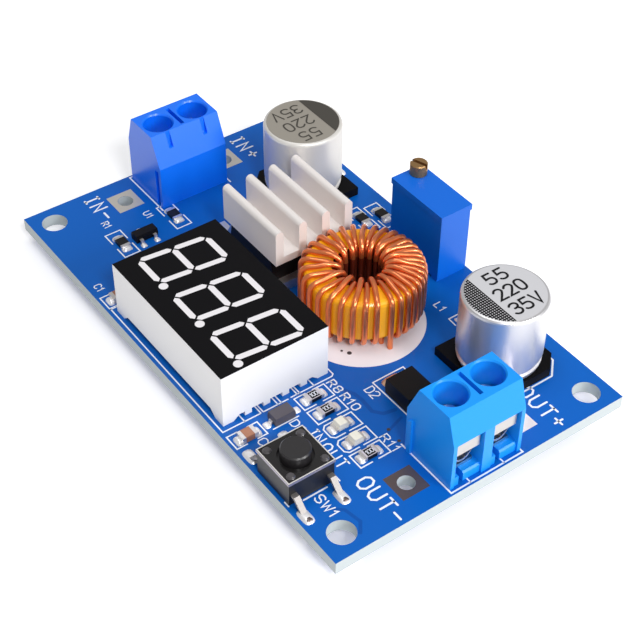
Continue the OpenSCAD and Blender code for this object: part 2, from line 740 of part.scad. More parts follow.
module chip_terminations() {
    color([0.82, 0.82, 0.82]) {
        for (p = chips, s = [-1, 1]) at_chip(p) translate([s * 0.83, 0, 0])
            chip_block(0.36, 1.25, 0.52, 0);
        for (p = caps, s = [-1, 1]) at_chip(p) translate([s * 0.78, 0, 0])
            chip_block(0.46, 1.3, 0.82, 0);
        for (p = lamps, s = [-1, 1]) at_chip(p) translate([s * 0.83, 0, 0])
            chip_block(0.36, 1.25, 0.35, 0);
    }
}

module lamp(p) {
    at_chip(p) {
        chip_block(1.3, 1.25, 0.37);
        side_profile([[-0.65, 0.38], [-0.5, 0.85], [0.5, 0.85], [0.65, 0.38]], 1.2);
    }
}

module input_indicator_led() {
    color([0.93, 0.9, 0.78]) lamp(lamps[0]);
}

module output_indicator_led() {
    color([0.93, 0.9, 0.78]) lamp(lamps[1]);
}

module meter_regulator_body() {
    color([0.07, 0.07, 0.07]) on_board(-21.3, -9.1)
        side_profile([[-0.65, 0.05], [-0.72, 0.6], [-0.6, 1.1], [0.6, 1.1], [0.72, 0.6], [0.65, 0.05]], 3.0);
}

module meter_regulator_leads() {
    pts = [[0.72, 0.65], [1.05, 0.65], [1.2, 0.15], [1.45, 0.15], [1.45, 0], [1.1, 0],
        [0.95, 0.5], [0.72, 0.5]];
    color([0.82, 0.82, 0.82]) on_board(-21.3, -9.1) {
        for (s = [-0.95, 0.95]) translate([0, s, 0]) side_profile(pts, 0.42);
        rotate([0, 0, 180]) side_profile(pts, 0.42);
    }
}

// meter controller under the board, between the two rows of display pins
module meter_controller_body() {
    color([0.07, 0.07, 0.07]) translate([disp_x, disp_y, pin_drop]) rotate([0, 180, 0])
        translate([-3.25, -2.2, 0.1]) cube([6.5, 4.4, 0.9]);
}

module meter_controller_leads() {
    pts = [[2.2, 0.62], [2.55, 0.62], [2.75, 0.15], [3.2, 0.15], [3.2, 0], [2.65, 0], [2.45, 0.47],
        [2.2, 0.47]];
    color([0.82, 0.82, 0.82]) translate([disp_x, disp_y, pin_drop]) rotate([0, 180, 0])
        for (i = [0 : 9], s = [90, -90]) translate([(i - 4.5) * 0.65, 0, 0]) rotate([0, 0, s])
            side_profile(pts, 0.25);
}

// ---------- output ----------
circuit_board();
solder_joints();
output_terminal_housing();
output_terminal_contacts();
output_terminal_leaf_1();
output_terminal_leaf_2();
output_terminal_screw_1();
output_terminal_screw_2();
input_terminal_housing();
input_terminal_contacts();
input_terminal_leaf_1();
input_terminal_leaf_2();
input_terminal_screw_1();
input_terminal_screw_2();
output_capacitor_can();
output_capacitor_base();
output_capacitor_leads();
input_capacitor_can();
input_capacitor_base();
input_capacitor_leads();
heatsink();
thermal_adhesive();
regulator_body();
regulator_leadframe();
inductor_core();
inductor_winding();
trimmer_housing();
trimmer_screw();
trimmer_pins();
display_shell();
display_segments();
display_substrate();
display_pins();
switch_base();
switch_cover();
switch_button();
switch_dome();
switch_legs();
rectifier_diode_body();
rectifier_diode_leads();
signal_diode_body();
signal_diode_leads();
input_indicator_led();
output_indicator_led();
chip_resistors();
chip_capacitors();
chip_terminations();
meter_regulator_body();
meter_regulator_leads();
meter_controller_body();
meter_controller_leads();
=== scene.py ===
"""The looks of the step-down converter module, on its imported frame: finishes, board coatings and
prints, solder, the inductor's wire, lights and camera."""
import math

import bpy
from mathutils import Matrix, Vector


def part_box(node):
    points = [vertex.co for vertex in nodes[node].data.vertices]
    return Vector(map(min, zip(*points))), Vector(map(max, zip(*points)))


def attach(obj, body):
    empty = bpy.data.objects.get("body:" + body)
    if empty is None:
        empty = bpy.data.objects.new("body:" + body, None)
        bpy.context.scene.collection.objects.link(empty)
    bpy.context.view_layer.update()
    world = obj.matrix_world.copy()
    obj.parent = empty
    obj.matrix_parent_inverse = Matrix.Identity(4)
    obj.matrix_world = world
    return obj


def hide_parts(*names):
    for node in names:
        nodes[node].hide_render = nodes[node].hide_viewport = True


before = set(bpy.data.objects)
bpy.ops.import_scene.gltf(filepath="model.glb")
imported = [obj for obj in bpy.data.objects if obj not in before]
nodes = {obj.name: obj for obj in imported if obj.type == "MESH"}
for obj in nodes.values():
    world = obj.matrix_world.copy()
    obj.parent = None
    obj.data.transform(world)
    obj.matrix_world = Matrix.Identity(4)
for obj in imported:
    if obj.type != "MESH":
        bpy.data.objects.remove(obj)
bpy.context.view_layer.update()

MM = 0.001
BOARD_TOP = 3.6  # mm above the pin tips
HOME = "module"  # the body that everything fixed rides on
ENDS = (-1, 1)
TAU = 2 * math.pi


# ---------- materials ----------

def lin(c):
    """Screen colour, 0 to 255, to the linear colour that a shader takes."""
    out = []
    for v in c:
        v = v / 255
        out.append(v / 12.92 if v <= 0.04045 else ((v + 0.055) / 1.055) ** 2.4)
    return out + [1.0]


def mat(name, rgb, rough=0.5, metal=0.0, coat=0.0, coat_rough=0.05, spec=0.5):
    m = bpy.data.materials.new(name)
    m.use_nodes = True
    b = m.node_tree.nodes["Principled BSDF"]
    b.inputs["Base Color"].default_value = lin(rgb)
    b.inputs["Roughness"].default_value = rough
    b.inputs["Metallic"].default_value = metal
    b.inputs["Coat Weight"].default_value = coat
    b.inputs["Coat Roughness"].default_value = coat_rough
    b.inputs["Specular IOR Level"].default_value = spec
    return m


M = {name: mat(name, **look) for name, look in {
    # board
    "laminate": dict(rgb=(196, 204, 206), rough=0.6, spec=0.2),
    "mask": dict(rgb=(0, 94, 186), rough=0.34, spec=0.28),
    # painted shade: the mask on the board's underside, a darker copy of the top's
    "mask_under_shaded": dict(rgb=(0, 84, 174), rough=0.34, spec=0.28),
    "trace": dict(rgb=(0, 80, 166), rough=0.34, spec=0.28),
    "silk": dict(rgb=(238, 241, 250), rough=0.55, spec=0.2),
    "disc": dict(rgb=(238, 236, 242), rough=0.5, spec=0.2),
    "mark": dict(rgb=(70, 66, 70), rough=0.5, spec=0.2),
    "pad_dark": dict(rgb=(112, 98, 96), rough=0.36, metal=0.7),
    "pad_bright": dict(rgb=(250, 240, 240), rough=0.34, metal=0.5),
    "pad_beige": dict(rgb=(214, 208, 196), rough=0.36, metal=0.5),
    # solder, pins and leads
    "solder": dict(rgb=(244, 242, 243), rough=0.32, metal=0.4),
    "tin": dict(rgb=(224, 220, 218), rough=0.36, metal=0.85),
    "leg": dict(rgb=(150, 145, 142), rough=0.5, metal=0.85),
    "lead_tan": dict(rgb=(222, 176, 142), rough=0.35, metal=0.7),
    # terminals
    "out_blue": dict(rgb=(20, 150, 248), rough=0.36, spec=0.35),
    "in_blue": dict(rgb=(8, 116, 250), rough=0.3, spec=0.6),
    "chrome": dict(rgb=(206, 202, 198), rough=0.28, metal=1.0),
    "screw": dict(rgb=(214, 212, 210), rough=0.24, metal=1.0),
    # capacitors
    "can": dict(rgb=(226, 225, 227), rough=0.34, metal=0.8),
    # the input capacitor's can is a duller grey than the output's, and its top much darker
    "can_duller": dict(rgb=(226, 223, 218), rough=0.4, metal=0.4),
    "can_top": dict(rgb=(214, 214, 218), rough=0.42, metal=0.25),
    "can_top_darker": dict(rgb=(158, 152, 142), rough=0.45, metal=0.2),
    "can_print": dict(rgb=(24, 24, 27), rough=0.5, spec=0.2),
    "print_grey": dict(rgb=(74, 71, 66), rough=0.5, spec=0.2),
    "black_base": dict(rgb=(8, 7, 9), rough=0.5, spec=0.12),
    # heatsink and inductor
    "sink": dict(rgb=(238, 232, 229), rough=0.5, metal=0.15),
    "pad_glue": dict(rgb=(200, 200, 196), rough=0.7),
    "core": dict(rgb=(255, 184, 24), rough=0.4, coat=0.3, coat_rough=0.15, spec=0.3),
    "core_deep": dict(rgb=(58, 18, 10), rough=0.6, spec=0.1),
    "wire": dict(rgb=(244, 136, 78), rough=0.3, metal=0.85, coat=0.7, coat_rough=0.2),
    "wire_deep": dict(rgb=(120, 44, 24), rough=0.4, metal=0.6),
    # trimmer and display
    "trim": dict(rgb=(4, 104, 216), rough=0.34, spec=0.35),
    "brass": dict(rgb=(176, 138, 92), rough=0.36, metal=0.85),
    "shell": dict(rgb=(250, 249, 249), rough=0.45, spec=0.3),
    "face": dict(rgb=(10, 9, 12), rough=0.5, spec=0.12),
    "bars": dict(rgb=(232, 229, 232), rough=0.5, spec=0.2),
    "back_resin": dict(rgb=(196, 194, 186), rough=0.6),
    # push switch
    "sw_black": dict(rgb=(20, 20, 22), rough=0.4),
    "sw_cover": dict(rgb=(20, 18, 19), rough=0.24, metal=0.2, coat=0.7, coat_rough=0.1),
    # the switch cover's side faces: grey metal, painted lighter than the cover's top for the light
    # the sides catch
    "sw_side_lit": dict(rgb=(168, 162, 174), rough=0.36, metal=0.75),
    # painted highlight on the switch cover's rolled edge
    "sw_edge_highlight": dict(rgb=(232, 229, 226), rough=0.3, metal=0.3),
    "rivet": dict(rgb=(74, 71, 74), rough=0.3, coat=0.8, coat_rough=0.12),
    "button": dict(rgb=(34, 32, 34), rough=0.42, coat=0.3, coat_rough=0.2),
    # small parts
    "epoxy": dict(rgb=(17, 15, 16), rough=0.5, spec=0.2),
    "grey_epoxy": dict(rgb=(84, 80, 88), rough=0.45, spec=0.3),
    "chip_black": dict(rgb=(22, 21, 22), rough=0.4, spec=0.3),
    "chip_brown": dict(rgb=(176, 122, 96), rough=0.45, spec=0.3),
    "ceramic": dict(rgb=(206, 200, 208), rough=0.5, spec=0.3),
    "lamp": dict(rgb=(252, 248, 232), rough=0.3, coat=0.5, coat_rough=0.1),
}.items()}


def backdrop(name, rgb, lift):
    """A matt floor that camera and mirror rays see a little brighter than it lights."""
    m = mat(name, rgb, 0.9, spec=0.0)
    t = m.node_tree
    ray = t.nodes.new("ShaderNodeLightPath")
    seen = t.nodes.new("ShaderNodeMath")
    seen.operation = "MAXIMUM"
    t.links.new(ray.outputs["Is Camera Ray"], seen.inputs[0])
    t.links.new(ray.outputs["Is Glossy Ray"], seen.inputs[1])
    scale = t.nodes.new("ShaderNodeMath")
    scale.operation = "MULTIPLY"
    scale.inputs[1].default_value = lift
    t.links.new(seen.outputs[0], scale.inputs[0])
    b = t.nodes["Principled BSDF"]
    b.inputs["Emission Color"].default_value = (1, 1, 1, 1)
    t.links.new(scale.outputs[0], b.inputs["Emission Strength"])
    return m


M["floor"] = backdrop("floor", (246, 246, 247), 0.3)

LOOK = {
    "circuit_board": "laminate", "solder_joints": "solder",
    "output_terminal_housing": "out_blue", "input_terminal_housing": "in_blue",
    "output_terminal_contacts": "chrome", "input_terminal_contacts": "chrome",
    "output_capacitor_can": "can", "input_capacitor_can": "can_duller",
    "output_capacitor_base": "black_base", "input_capacitor_base": "black_base",
    "heatsink": "sink", "thermal_adhesive": "pad_glue", "regulator_body": "epoxy",
    "inductor_core": "core", "trimmer_housing": "trim", "trimmer_screw": "brass",
    "display_shell": "shell", "display_segments": "bars", "display_substrate": "back_resin",
    "switch_base": "sw_black", "switch_cover": "sw_cover", "switch_button": "button",
    "switch_dome": "chrome", "rectifier_diode_body": "epoxy", "signal_diode_body": "grey_epoxy",
    "input_indicator_led": "lamp", "output_indicator_led": "lamp",
    "chip_resistors": "chip_black", "chip_capacitors": "chip_brown",
    "meter_regulator_body": "epoxy", "meter_controller_body": "epoxy",
}


def metal_look(node):
    """Leaves, screws and the switch's legs have their own; other pins and leads are tinned."""
    for word, key in (("leaf", "chrome"), ("screw", "screw"), ("switch", "leg")):
        if word in node:
            return key
    return "tin"


for node, o in nodes.items():
    o.data.materials.clear()
    o.data.materials.append(M[LOOK.get(node) or metal_look(node)])


# ---------- helpers: mm, with heights from the board's upper face ----------

def add(name, me, key):
    """Puts a mesh into the scene as a piece that rides on the module."""
    me.materials.append(M[key])
    o = bpy.data.objects.new(name, me)
    bpy.context.scene.collection.objects.link(o)
    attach(o, HOME)
    return o


def make(name, verts, faces, key, smooth=False):
    me = bpy.data.meshes.new(name)
    me.from_pydata([(x * MM, y * MM, (z + BOARD_TOP) * MM) for x, y, z in verts], [], faces)
    me.validate()
    if smooth:
        for p in me.polygons:
            p.use_smooth = True
    return add(name, me, key)


def coat(node, test, name, key, slot):
    """A thin coating laid on some faces of a CAD node, each pushed out along its own normal."""
    lift = 0.01 * MM
    src = nodes[node].data
    v, f = [], []
    for p in src.polygons:
        if test(p):
            first = len(v)
            v += [tuple(src.vertices[i].co + p.normal * lift) for i in p.vertices]
            f.append(list(range(first, len(v))))
    me = bpy.data.meshes.new(name)
    me.from_pydata(v, [], f)
    return add(name, me, key)


def faces_up(above):
    """A test for faces that look up and lie higher than this many metres."""
    return lambda p: p.normal.z > 0.99 and p.center.z > above


def on_circle(x, y, r, a):
    return x + r * math.cos(a), y + r * math.sin(a)


class Flat:
    """Collects flat shapes printed at one height."""

    LONGEST_MITRE = 2.2  # times half the stroke's width

    def __init__(self, z):
        self.z, self.v, self.f = z, [], []

    def poly(self, pts):
        first = len(self.v)
        self.v += [(p[0], p[1], self.z) for p in pts]
        self.f.append(list(range(first, first + len(pts))))

    def rect(self, x0, x1, y0, y1):
        self.poly([(x0, y0), (x1, y0), (x1, y1), (x0, y1)])

    def disc(self, x, y, r, n, a0=0, a1=360):
        """A disc, or the part of one between two angles in degrees."""
        last = n if a1 - a0 == 360 else n + 1
        self.poly([on_circle(x, y, r, math.radians(a0 + (a1 - a0) * i / n)) for i in range(last)])

    def line(self, pts, w, close=False):
        """A stroke with mitred corners and round ends."""
        pts = [Vector(p) for p in pts]
        n = len(pts)
        left, right = [], []
        for i, p in enumerate(pts):
            before = pts[i - 1] if i or close else None
            after = pts[(i + 1) % n] if i < n - 1 or close else None
            d0 = (p - before).normalized() if before is not None else None
            d1 = (after - p).normalized() if after is not None else None
            d0, d1 = d0 or d1, d1 or d0
            t = d0 + d1
            t = t.normalized() if t.length > 1e-6 else d0
            m = Vector((-t.y, t.x))
            s = min(1 / max(m.dot(Vector((-d0.y, d0.x))), 0.3), self.LONGEST_MITRE) * w / 2
            left.append(p + m * s)
            right.append(p - m * s)
        for i in range(n if close else n - 1):
            j = (i + 1) % n
            self.poly([right[i], right[j], left[j], left[i]])
        if not close:
            for p, q in ((pts[0], pts[1]), (pts[-1], pts[-2])):
                a = math.degrees(math.atan2((p - q).y, (p - q).x))
                self.disc(p.x, p.y, w / 2, 8, a - 90, a + 90)

    def done(self, name, key, slot):
        return make(name, self.v, self.f, key)


# a letter is its width and its strokes, for a height of 1
GLYPHS = {
    "O": (.7, [[(.2, 0), (.5, 0), (.7, .25), (.7, .75), (.5, 1), (.2, 1), (0, .75), (0, .25),
                (.2, 0)]]),
    "U": (.7, [[(0, 1), (0, .25), (.2, 0), (.5, 0), (.7, .25), (.7, 1)]]),
    "T": (.66, [[(0, 1), (.66, 1)], [(.33, 1), (.33, 0)]]),
    "+": (.6, [[(0, .5), (.6, .5)], [(.3, .2), (.3, .8)]]),
    "-": (.6, [[(0, .5), (.6, .5)]]),
    "I": (.3, [[(0, 0), (.3, 0)], [(0, 1), (.3, 1)], [(.15, 0), (.15, 1)]]),
    "N": (.6, [[(0, 0), (0, 1), (.6, 0), (.6, 1)]]),
    "R": (.6, [[(0, 0), (0, 1), (.42, 1), (.6, .86), (.6, .64), (.42, .5), (0, .5)],
               [(.32, .5), (.6, 0)]]),
    "L": (.55, [[(0, 1), (0, 0), (.55, 0)]]),
    "D": (.6, [[(0, 0), (0, 1), (.38, 1), (.6, .76), (.6, .24), (.38, 0), (0, 0)]]),
    "S": (.6, [[(.6, .84), (.44, 1), (.16, 1), (0, .84), (0, .66), (.16, .52), (.44, .48),
                (.6, .34), (.6, .16), (.44, 0), (.16, 0), (0, .16)]]),
    "W": (.84, [[(0, 1), (.2, 0), (.42, .8), (.64, 0), (.84, 1)]]),
    "V": (.64, [[(0, 1), (.32, 0), (.64, 1)]]),
    "C": (.6, [[(.6, .84), (.44, 1), (.16, 1), (0, .8), (0, .2), (.16, 0), (.44, 0), (.6, .16)]]),
    "0": (.6, [[(.16, 0), (.44, 0), (.6, .2), (.6, .8), (.44, 1), (.16, 1), (0, .8), (0, .2),
                (.16, 0)]]),
    "1": (.3, [[(0, .72), (.22, 1), (.22, 0)]]),
    "2": (.6, [[(0, .82), (.16, 1), (.44, 1), (.6, .84), (.6, .64), (0, 0), (.6, 0)]]),
    "3": (.6, [[(0, .86), (.16, 1), (.44, 1), (.6, .86), (.6, .66), (.44, .52), (.24, .52)],
               [(.44, .52), (.6, .38), (.6, .16), (.44, 0), (.16, 0), (0, .14)]]),
    "5": (.6, [[(.56, 1), (.06, 1), (.02, .56), (.4, .6), (.6, .42), (.6, .16), (.44, 0),
                (.14, 0), (0, .12)]]),
    "8": (.6, [[(.16, .52), (.02, .66), (.02, .86), (.16, 1), (.44, 1), (.58, .86), (.58, .66),
                (.44, .52), (.16, .52), (0, .38), (0, .16), (.16, 0), (.44, 0), (.6, .16),
                (.6, .38), (.44, .52)]]),
}


def is_loop(pts):
    return len(pts) > 2 and (Vector(pts[0]) - Vector(pts[-1])).length < 1e-6


def soften(pts):
    """Round the gentle corners of a stroke by cutting them; sharp corners stay."""
    gentle, bite = math.radians(75), 0.27
    closed = is_loop(pts)
    n = len(pts)
    out = [] if closed else [pts[0]]
    for i in range(0 if closed else 1, n - 1):
        a, b, c = Vector(pts[i - 1] if i else pts[n - 2]), Vector(pts[i]), Vector(pts[i + 1])
        if (b - a).angle(c - b) < gentle:
            out += [tuple(b.lerp(a, bite)), tuple(b.lerp(c, bite))]
        else:
            out.append(tuple(b))
    out.append(out[0] if closed else pts[-1])
    return out


def write(flat, text, x, y, h, w, gap, wide=1.0, turn=0.0, soft=0):
    """Stroke lettering: (x, y) is the lower left of the first letter, gap a share of the height."""
    c, s = math.cos(math.radians(turn)), math.sin(math.radians(turn))
    u = 0.0
    for ch in text:
        width, strokes = GLYPHS[ch]
        for st in strokes:
            for _ in range(soft):
                st = soften(st)
            pts = []
            for p in st:
                a, b = (u + p[0] * wide) * h, p[1] * h
                pts.append((x + a * c - b * s, y + a * s + b * c))
            closed = is_loop(pts)
            flat.line(pts[:-1] if closed else pts, w, closed)
        u += width * wide + gap


# ---------- coatings on CAD nodes ----------

SKIN = 0.00001  # how near a face lies to its node's top to count as it, m
SW = (21.4, -16.4)  # middle of the push switch
SW_HALF, SW_TOP = 2.975, 3.5
OUT_CAN, IN_CAN = (20.75, 12.0), (-17.75, 12.4)  # middles of the capacitors
RING = (4.8, 4.75)  # middle of the inductor
# the flat layers on the board, each over the one before
GAP_Z, PAD_Z, DISC_Z, INK_Z, VIA_Z = 0.012, 0.02, 0.025, 0.03, 0.035


def off_centre(p, middle):
    """How far a face's centre lies from an upright axis in X and in Y, mm."""
    return abs(p.center.x / MM - middle[0]), abs(p.center.y / MM - middle[1])


display_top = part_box("display_shell")[1].z
can_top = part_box("output_capacitor_can")[1].z
coat("circuit_board", faces_up(BOARD_TOP * MM - SKIN), "mask_top", "mask", "board_mask")
# painted shade: the board's downward faces get the darker copy of the mask
coat("circuit_board", lambda p: p.normal.z < -0.99, "mask_bottom", "mask_under_shaded", "board_mask")
coat("display_shell", faces_up(display_top - SKIN), "display_face", "face",
     "display_shell_plastic")
# painted light: the cover's upright faces get a lighter grey than its top
coat("switch_cover", lambda p: abs(p.normal.z) < 0.3 and max(off_centre(p, SW)) > 2.9,
     "switch_cover_sides_lit", "sw_side_lit", "switch_cover_metal")
coat("switch_cover", lambda p: p.center.z > (BOARD_TOP + SW_TOP + 0.02) * MM,
     "switch_rivets", "rivet", "switch_cover_metal")
for end, key in (("output", "can_top"), ("input", "can_top_darker")):
    coat(end + "_capacitor_can", faces_up(can_top - SKIN), end + "_can_top", key,
         "can_aluminium")

# ---------- wire pads: squares of bare metal with a round hole ----------

PADS = {(-1, -1): "pad_beige", (-1, 1): "pad_beige", (1, -1): "pad_dark", (1, 1): "pad_bright"}
PAD_X, PAD_Y, PAD_HALF, PAD_HOLE_R = 28.8, 7.5, 1.78, 1.0
STEPS = 32


def on_square(x, y, half, a):
    k = half / max(abs(math.cos(a)), abs(math.sin(a)))
    return x + k * math.cos(a), y + k * math.sin(a)


for (sx, sy), key in PADS.items():
    pad = Flat(PAD_Z)
    x, y = sx * PAD_X, sy * PAD_Y
    for i in range(STEPS):
        a, b = TAU * i / STEPS, TAU * (i + 1) / STEPS
        pad.poly([on_circle(x, y, PAD_HOLE_R, a), on_square(x, y, PAD_HALF, a),
                  on_square(x, y, PAD_HALF, b), on_circle(x, y, PAD_HOLE_R, b)])
    pad.done("wire_pad_%d%d" % (sx, sy), key, "solder")

# darker gaps between the copper areas under the mask
gaps = Flat(GAP_Z)
gaps.line([(14.25, -4.74), (15.37, -4.2), (16.62, -4.06), (18.6, -4.2), (19.6, -3.4),
           (19.9, -2.0)], 0.5)
gaps.line([(21.2, -2.2), (21.9, -4.4), (22.2, -5.0)], 0.35)
gaps.line([(26.7, -16.3), (28.0, -14.9), (30.1, -14.5), (31.3, -15.4)], 0.4)
gaps.done("mask_gaps", "trace", "board_mask")


# ---------- solder under the small parts ----------

def mounds(name, key, spots):
    """Low solder mounds with rounded rectangular feet; a spot is x, y, length, width, height."""
    n, foot_z = 20, 0.015
    rings = ((1.0, 0.0), (0.86, 0.45), (0.6, 0.85), (0.25, 1.0))  # shares of foot and height
    v, f = [], []
    for x, y, lx, ly, h in spots:
        first = len(v)
        for r, t in rings:
            for i in range(n):
                a = TAU * (i + 0.5) / n
                c, s = math.cos(a), math.sin(a)
                q = (abs(c) ** 4 + abs(s) ** 4) ** -0.25
                v.append((x + lx / 2 * r * c * q, y + ly / 2 * r * s * q, foot_z + h * t))
        for j in range(len(rings) - 1):
            low, high = first + j * n, first + (j + 1) * n
            f += [[low + i, low + (i + 1) % n, high + (i + 1) % n, high + i] for i in range(n)]
        f.append([first + (len(rings) - 1) * n + i for i in range(n)])
    make(name, v, f, key, True)


# the chips' places: those that lie along Y, with the two lamps, and those along X
NUMBERED = [(13.2, -8.2), (15.7, -8.25), (23.45, -8.3)]
LAMPS = [(18.35, -8.3), (21.0, -8.25)]
CAPS = [(13.85, -17.4), (-13.4, -17.4)]
ALONG_X = [(-21.7, -12.1), (-22.7, -4.0), (-7.6, 17.35), (-8.3, 14.8)]
CHIP_END = 1.15  # from a chip's middle to the middle of its solder
LEG_Y = 2.3  # from the switch's middle to its legs

solder = [(x, y + s * CHIP_END, 1.35, 0.95, 0.34) for x, y in NUMBERED + LAMPS for s in ENDS]
solder += [(x, y + s * CHIP_END, 1.4, 0.95, 0.5) for x, y in CAPS for s in ENDS]
solder += [(x + s * CHIP_END, y, 0.95, 1.35, 0.34) for x, y in ALONG_X for s in ENDS]
# the small diode, the meter's regulator, the main regulator's five leads, the inductor's end
solder += [(13.65, -12.8 + s * 1.95, 1.0, 0.8, 0.2) for s in ENDS]
solder += [(x, y, 0.8, 0.75, 0.22) for x, y in ((-19.9, -10.05), (-19.9, -8.15), (-22.7, -9.1))]
solder += [(-17.3, 3.3 + 1.7 * i, 1.5, 0.95, 0.35) for i in range(-2, 3)]
solder += [(12.9, 12.9, 0.9, 0.9, 0.15)]
# the capacitors' leads and the switch's legs
solder += [(OUT_CAN[0], OUT_CAN[1] + s * 5.85, 1.6, 1.2, 0.5) for s in ENDS]
solder += [(IN_CAN[0], IN_CAN[1] + 5.9, 1.6, 1.2, 0.5)]
solder += [(SW[0] + sx * 5.0, SW[1] + sy * LEG_Y, 2.2, 1.3, 0.35) for sx in ENDS for sy in ENDS]
mounds("part_solder", "solder", solder)
mounds("rectifier_solder", "lead_tan", [(19.25 + s * 3.1, 0.5, 1.2, 2.6, 0.55) for s in ENDS])
mounds("switch_pad_ends", "pad_dark",
       [(SW[0] + 5.55, SW[1] + s * LEG_Y, 0.9, 0.95, 0.34) for s in ENDS])

# ---------- white printing ----------

ink = Flat(INK_Z)
THIN = 0.17

# text, x, y, height, stroke, gap, width
for label in (
        ("OUT+", 25.6, 10.5, 1.8, 0.25, 0.33),
        ("OUT-", 25.75, -11.9, 1.8, 0.25, 0.33),
        ("IN-", -31.65, -11.8, 1.8, 0.27, 0.5),
        ("IN+", -31.65, 10.4, 1.8, 0.27, 0.5),
        ("R8", 12.25, -5.75, 1.0, 0.17, 0.4, 1.25),
        ("R10", 14.75, -5.75, 1.0, 0.17, 0.4, 1.25),
        ("R11", 22.15, -5.93, 1.0, 0.15, 0.42, 1.35),
        ("IN", 17.3, -11.95, 1.3, 0.19, 0.38),
        ("OUT", 19.6, -12.05, 1.3, 0.19, 0.36),
        ("L1", 9.2, 12.1, 0.95, 0.15, 0.4, 1.1),
        ("U1", -25.4, -7.0, 0.9, 0.14, 0.3),
        ("R1", -26.6, -12.3, 0.9, 0.14, 0.3),
        ("C1", -16.9, -18.9, 0.9, 0.14, 0.3),
        ("D2", 15.55, -3.0, 1.15, 0.15, 0.2),
        ("D3", 14.82, -12.6, 1.0, 0.15, 0.35, 1.3),
        ("C2", 15.0, -16.95, 1.05, 0.15, 0.3, 1.2),
        ("SW1", 24.95, -16.65, 1.1, 0.17, 0.3, 1.2)):
    write(ink, *label)


def bracket(x0, x1, y0, y1, gap0, gap1, cut=0.0):
    """An outline with a gap in each long side and the -Y corners cut by some amount."""
    low = [(x0, gap0), (x0, y0 + cut), (x0 + cut, y0), (x1 - cut, y0), (x1, y0 + cut), (x1, gap0)]
    if not cut:
        low = [(x0, gap0), (x0, y0), (x1, y0), (x1, gap0)]
    ink.line(low, THIN)
    ink.line([(x0, gap1), (x0, y1), (x1, y1), (x1, gap1)], THIN)


bracket(12.16, 14.24, -10.12, -6.08, -8.6, -7.6)
bracket(14.68, 16.83, -10.15, -6.1, -8.6, -7.6)
bracket(17.35, 19.48, -10.17, -6.15, -8.5, -7.9, 0.42)
bracket(19.97, 22.0, -10.22, -6.1, -8.5, -7.9, 0.42)
bracket(22.42, 24.47, -10.15, -6.15, -8.65, -7.75)
bracket(12.6, 14.68, -19.3, -15.35, -18.0, -16.6)
bracket(-14.6, -12.4, -19.3, -15.35, -18.0, -16.6)
# display outline, broken by the diode's pads
ink.line([(-12.2, -19.22), (11.76, -19.22), (11.8, -14.4)], THIN)
ink.line([(11.78, -13.85), (11.78, -10.66)], THIN)
ink.line([(11.74, -10.2), (11.74, -4.6), (11.5, -4.3), (-12.2, -4.3), (-12.2, -19.22)], THIN)
# outlines of parts that run on under the display, and the small diode's bar
for y in (-16.4, -14.27, -13.95, -12.0, -11.55, -9.4, -9.05, -7.1):
    ink.line([(9.4, y), (11.76, y)], THIN)
ink.line([(14.55, -14.5), (14.53, -11.17)], THIN)
# square brackets at both ends of the chips that lie along X: x, y, half length, half width
for x, y, a, b in ((-21.75, -12.05, 2.45, 1.05), (-22.75, -4.0, 2.5, 1.05),
                   (-7.6, 17.35, 2.4, 1.0), (-8.3, 14.8, 2.4, 1.0)):
    for s in ENDS:
        ink.line([(x + s * 0.6, y - b), (x + s * a, y - b), (x + s * a, y + b),
                  (x + s * 0.6, y + b)], THIN)
# output terminal, input terminal, rectifier, output capacitor
ink.line([(24.3, -4.6), (32.65, -4.6), (32.65, 5.28), (24.3, 5.28)], 0.2)
ink.line([(24.3, 2.65), (32.65, 2.65)], THIN)
ink.line([(24.3, -2.0), (32.65, -2.0)], THIN)
ink.line([(-24.4, -4.6), (-32.65, -4.6), (-32.65, 5.6), (-24.4, 5.6)], 0.2)
ink.line([(15.85, 2.78), (15.2, 2.8), (15.2, -1.5), (23.2, -1.4), (23.2, 2.75)], THIN)
ink.line([(15.75, 17.35), (24.2, 17.35), (26.05, 15.5), (26.05, 6.7), (25.0, 6.7)], 0.22)
# corner by the inductor, and the push switch's three strokes
ink.line([(13.4, 12.0), (12.1, 12.05), (12.1, 14.6)], THIN)
ink.line([(23.6, -13.0), (24.55, -13.0)], THIN)
ink.line([(24.5, -17.6), (24.48, -14.6)], 0.2)
ink.line([(23.6, -19.35), (24.3, -19.35)], THIN)
ink.done("white_printing", "silk", "board_mask")

disc = Flat(DISC_Z)
disc.disc(6.3, 3.5, 7.7, 72)
disc.done("white_disc", "disc", "board_mask")
vias = Flat(VIA_Z)
for x, y, r in ((9.9, -0.8, 0.28), (9.1, -1.3, 0.16), (21.8, -4.4, 0.22), (23.75, -4.5, 0.2)):
    vias.disc(x, y, r, 14)
vias.done("via_marks", "mark", "board_mask")

# painted highlight: a bright line along the switch cover's rolled top edge, where the metal catches
# the light
edge, edge_half = Flat(SW_TOP + 0.012), SW_HALF - 0.07
edge.line([(SW[0] + i * edge_half, SW[1] + j * edge_half)
           for i, j in ((-1, -1), (1, -1), (1, 1), (-1, 1))], 0.13, True)
edge.done("switch_cover_edge_highlight", "sw_edge_highlight", "switch_cover_metal")

# ---------- the inductor's wire, about the ring's axis ----------

WIRE_R, WIRE_SIDES = 0.33, 12
R_OUT, R_IN, Z_TOP, Z_BOT = 7.2, 3.13, 7.25, 0.9  # the wire's middle round the core
CORNER = 0.95  # how far the turns start to bend before a corner of the core
TURNS, FROM, SWEEP = 34, 350.0, 356.0
CROWD, OPEN_AT = 0.25, 0.71  # how much the turns crowd, and where they are most open
NEST, LIFT = 0.6, 0.42  # every second turn lies this far behind and over its neighbours
START_DROP, END_GAP = -3.2, 0.06  # height of the first end's tip; turns left out at the last


